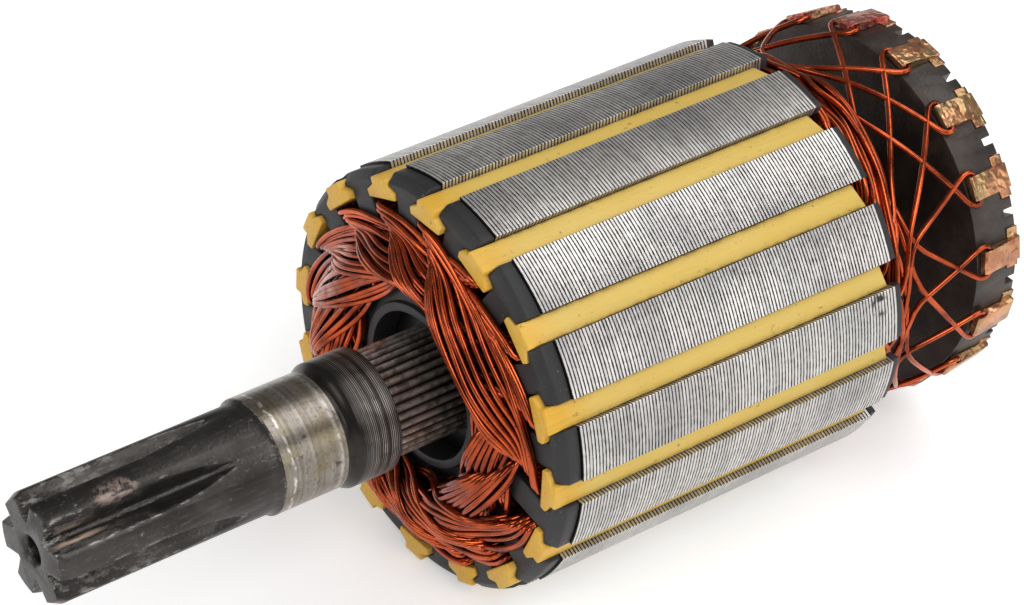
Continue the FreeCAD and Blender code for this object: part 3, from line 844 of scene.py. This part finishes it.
def lead_points(slot, hook, side, kept):
    """Points of a lead from its slot, along the end turns, beside its hook and into it."""
    under_wedge, into_hook, hook_side, slot_side = 1.9 * MM, 1.1 * MM, 2.2 * MM, 0.06
    low = WEDGE_BOTTOM - under_wedge
    high = (HOOK_BASE + HOOK_TOP) / 2
    back = HOOK_FRONT + into_hook - REAR_FACE
    beside = side * hook_side / high
    first = slot * SLOT_PITCH + side * slot_side
    last = hook * SLOT_PITCH + beside
    # Share of the way back, share of the turn and share of the climb
    loose_way, loose_climb, straight_way = 0.33, 0.42, 0.58
    route = [
        (0.0, 0.0, 0.0),
        (0.14, 0.05, 0.15),
        (0.24, 0.3 * kept, 0.3),
        (0.29, 0.65 * kept, 0.38),
        (loose_way, kept, loose_climb),
    ]
    for step in (0.22, 0.45, 0.68, 0.88, 1.0):
        way = loose_way + straight_way * step
        route.append((way, kept + (1 - kept) * step ** 0.9, loose_climb + (1 - loose_climb) * step ** 0.8))
    points = [around_shaft(REAR_FACE - 6 * MM, low, first)]
    points += [
        around_shaft(REAR_FACE + back * x, low + (high - low) * climb, first + (last - first) * turn)
        for x, turn, climb in route
    ]
    hook_x = REAR_FACE + back
    points.append(around_shaft(hook_x - 0.15 * MM, high, last))
    points += [around_shaft(hook_x, high, last - beside * into) for into in (0.35, 0.75, 0.98)]
    return points


def end_turn_points(points, face, inward, depth):
    """Points of an end turn whose two ends run on into their slots, along the shaft."""
    mouth_depth = 0.8 * MM
    mouths = [points[0].copy(), points[-1].copy()]
    inside = [points[0].copy(), points[-1].copy()]
    for mouth, end in zip(mouths, inside):
        mouth.x = face + inward * mouth_depth
        end.x = face + inward * depth
    # A smooth curve needs only every third point
    return [inside[0], mouths[0], *points[1:-1:3], mouths[1], inside[1]]


def mesh_of(context, curve, name):
    """Mesh of a curve's round wires."""
    shaped = bpy.data.objects.new(name, curve)
    context.scene.collection.objects.link(shaped)
    graph = context.evaluated_depsgraph_get()
    mesh = bpy.data.meshes.new_from_object(shaped.evaluated_get(graph))
    bpy.data.objects.remove(shaped)
    return mesh


class ROTOR_OT_winding(bpy.types.Operator):
    """Lays the wires of the sixteen coils and leads them to their hooks"""

    bl_idname = "rotor.winding"
    bl_label = "Winding"

    def execute(self, context):
        winding = context.scene.rotor_winding
        wire = enamelled_copper()
        front = lay_end_turns(
            FRONT_FACE, -1, winding.front_height, FRONT_MIDDLES,
            fullness=0.0, packing=1.0, seed=winding.seed)
        rear = lay_end_turns(
            REAR_FACE, 1, winding.rear_height, REAR_MIDDLES,
            fullness=2.0, packing=0.2, seed=winding.seed + 1)
        rng = random.Random(winding.seed + 2)
        for coil, node in enumerate(numbered("coil"), 1):
            curve = bpy.data.curves.new(node, "CURVE")
            curve.dimensions = "3D"
            curve.bevel_depth = winding.wire_diameter / 2
            curve.bevel_resolution = 2
            curve.resolution_u = 2
            curve.use_fill_caps = True
            for wires, face, inward in ((front, FRONT_FACE, 1), (rear, REAR_FACE, -1)):
                for points in wires[coil - 1]:
                    add_wire(curve, end_turn_points(points, face, inward, winding.slot_depth))
            last_slot = coil + COIL_PITCH
            kept = START_LEAD_SHARES.get(coil, rng.uniform(0.5, 0.75))
            add_wire(curve, lead_points(coil, coil + START_HOOK_TURN, 1, kept))
            kept = END_LEAD_SHARES.get(coil, rng.uniform(0.4, 0.8))
            add_wire(curve, lead_points(last_slot, last_slot + END_HOOK_TURN, -1, kept))
            mesh = mesh_of(context, curve, node + "_curve")
            mesh.materials.clear()
            mesh.materials.append(wire)
            smoothed(mesh, math.radians(60))
            piece = bpy.data.objects.new(node + "_wires", mesh)
            context.scene.collection.objects.link(piece)
            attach(piece, "root")
            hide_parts(node)
        return {"FINISHED"}


class ROTOR_OT_core(bpy.types.Operator):
    """Dresses the core, its end insulators, wedges and liners"""

    bl_idname = "rotor.core"
    bl_label = "Core and insulation"

    def execute(self, context):
        core = dressed_copy("lamination_core", "sheet_stack", [sheet_steel()], bevel=0.06 * MM, segments=1)
        nylon = moulded_nylon()
        for end in ("front", "rear"):
            plate = dressed_copy(end + "_end_insulator", end + "_end_plate", [nylon], bevel=0.22 * MM)
        strip = glass_fibre_strip()
        for number, node in enumerate(numbered("slot_wedge"), 1):
            piece = dressed_copy(node, "wedge_strip_%02d" % number, [strip], bevel=0.18 * MM)
        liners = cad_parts["slot_liners"].data.materials
        liners.clear()
        liners.append(insulating_paper())
        return {"FINISHED"}


def shaft_stretch(face):
    """Which material a face of the shaft has: 0 black, 1 ground, 2 turned, 3 rolled."""
    x = face.calc_center_median().x
    close = 0.01 * MM
    if abs(x) < JOURNAL_END + close or x > BRUSH_FACE:
        return 1
    if JOURNAL_END < x < COLLAR_END + close:
        return 2
    return 3 if x > COLLAR_END else 0


class ROTOR_OT_shaft(bpy.types.Operator):
    """Dresses the shaft in its blackened, ground and turned stretches"""

    bl_idname = "rotor.shaft"
    bl_label = "Shaft"

    def execute(self, context):
        materials = [blackened_steel(), ground_steel(), turned_steel(), rolled_steel()]
        piece = dressed_copy("shaft", "shaft_bar", materials, bevel=0.08 * MM, segments=1, pick=shaft_stretch)
        return {"FINISHED"}


# The segments whose hooks the photo shows reddened, as by the heat of fusing
REDDENED_SEGMENTS = (14, 15)


class ROTOR_OT_commutator(bpy.types.Operator):
    """Dresses the commutator's disc, bush and hooked segments"""

    bl_idname = "rotor.commutator"
    bl_label = "Commutator"

    def execute(self, context):
        finish = context.scene.rotor_finish
        copper = bare_copper("aged_copper", tuple(finish.hook), srgb("#AE7858"))
        reddened = bare_copper("reddened_copper", srgb("#D0605C"), srgb("#B98A6E"))
        for number, node in enumerate(numbered("commutator_segment"), 1):
            material = reddened if number in REDDENED_SEGMENTS else copper
            piece = dressed_copy(node, "hooked_segment_%02d" % number, [material], bevel=0.3 * MM, segments=3)
        disc = dressed_copy("commutator_body", "commutator_disc", [phenolic()], bevel=0.1 * MM, segments=1)
        bush = dressed_copy("commutator_bush", "commutator_sleeve", [turned_brass()], bevel=0.15 * MM)
        return {"FINISHED"}


# The camera that was fitted to the photo: its place, and its directions to the right and up
CAMERA_PLACE = Vector((-0.1999, -0.2867, 0.2780))
CAMERA_RIGHT = Vector((0.7934, -0.6072, 0.0432))
CAMERA_UP = Vector((0.3318, 0.4908, 0.8057))
SENSOR_WIDTH = 36

# Each lamp's name, place from the rotor's middle, width and share of the power. They stand far off
# and are large, so that the floor is evenly lit
ROTOR_MIDDLE = Vector((0.035, 0.0, 0.0))
LAMPS = (
    ("key_softbox", Vector((-0.6, -2.2, 2.2)), 1.9, 0.9),
    ("top_softbox", Vector((1.4, -0.5, 2.8)), 2.2, 0.75),
    ("left_softbox", Vector((-2.9, 0.6, 1.3)), 1.6, 0.6),
    ("right_softbox", Vector((1.6, -2.6, 0.9)), 1.4, 0.28),
)
FLOOR_HALF_WIDTH = 12.0
WORLD_LIGHT = 0.22


def add_floor(scene):
    """Lays the board under the rotor."""
    bm = bmesh.new()
    bmesh.ops.create_grid(bm, x_segments=1, y_segments=1, size=FLOOR_HALF_WIDTH)
    bmesh.ops.translate(bm, verts=bm.verts, vec=(0, 0, CAD_BOX[0][2]))
    mesh = bpy.data.meshes.new("floor")
    bm.to_mesh(mesh)
    bm.free()
    mesh.materials.append(white_board())
    floor = bpy.data.objects.new("floor", mesh)
    scene.collection.objects.link(floor)


def add_lamp(scene, name, away, size, power):
    """Hangs a square lamp that faces the rotor's middle."""
    light = bpy.data.lights.new(name, "AREA")
    light.shape = "SQUARE"
    light.size = size
    light.energy = power
    lamp = bpy.data.objects.new(name, light)
    lamp.location = ROTOR_MIDDLE + away
    lamp.rotation_mode = "QUATERNION"
    lamp.rotation_quaternion = (-away).to_track_quat("-Z", "Y")
    scene.collection.objects.link(lamp)


def add_world(scene):
    """Lights the studio evenly from all sides."""
    world = bpy.data.worlds.new("white_studio")
    world.use_nodes = True
    set_inputs(world.node_tree.nodes["Background"], {"Color": (1, 1, 1, 1), "Strength": WORLD_LIGHT})
    scene.world = world


def add_camera(scene, lens):
    """Sets the photo's camera."""
    camera_data = bpy.data.cameras.new("camera")
    camera_data.sensor_width = SENSOR_WIDTH
    camera_data.lens = lens
    camera_data.clip_start = 0.01
    camera = bpy.data.objects.new("camera", camera_data)
    turn = Matrix((CAMERA_RIGHT, CAMERA_UP, CAMERA_RIGHT.cross(CAMERA_UP))).transposed()
    camera.matrix_world = Matrix.Translation(CAMERA_PLACE) @ turn.to_4x4()
    scene.collection.objects.link(camera)
    scene.camera = camera


class ROTOR_OT_stage(bpy.types.Operator):
    """Sets the pale floor, the soft lamps and the camera"""

    bl_idname = "rotor.stage"
    bl_label = "Stage"

    def execute(self, context):
        scene = context.scene
        settings = scene.rotor_stage
        add_floor(scene)
        for name, away, size, share in LAMPS:
            add_lamp(scene, name, away, size, settings.lamp_power * share)
        add_world(scene)
        add_camera(scene, settings.lens)
        scene.view_settings.view_transform = "Standard"
        return {"FINISHED"}


class ROTOR_PT_panel(bpy.types.Panel):
    """The steps that build the rotor"""

    bl_idname = "ROTOR_PT_panel"
    bl_label = "Winch motor rotor"
    bl_space_type = "VIEW_3D"
    bl_region_type = "UI"
    bl_category = "Rotor"

    def draw(self, context):
        column = self.layout.column()
        for step in STEPS:
            column.operator(step.bl_idname)
        for name in SETTINGS:
            settings = getattr(context.scene, name)
            for key in settings.__annotations__:
                column.prop(settings, key)


STEPS = (ROTOR_OT_core, ROTOR_OT_winding, ROTOR_OT_commutator, ROTOR_OT_shaft, ROTOR_OT_stage)
SETTINGS = {
    "rotor_winding": RotorWindingSettings,
    "rotor_finish": RotorFinishSettings,
    "rotor_stage": RotorStageSettings,
}


def register():
    for cls in (*SETTINGS.values(), *STEPS, ROTOR_PT_panel):
        bpy.utils.register_class(cls)
    for name, cls in SETTINGS.items():
        setattr(bpy.types.Scene, name, bpy.props.PointerProperty(type=cls))


def unregister():
    for name in SETTINGS:
        delattr(bpy.types.Scene, name)
    for cls in reversed((*SETTINGS.values(), *STEPS, ROTOR_PT_panel)):
        bpy.utils.unregister_class(cls)


def main():
    """Builds the rotor and its stage."""
    register()
    bpy.ops.rotor.core()
    bpy.ops.rotor.winding()
    bpy.ops.rotor.commutator()
    bpy.ops.rotor.shaft()
    bpy.ops.rotor.stage()


if __name__ == "__main__":
    main()
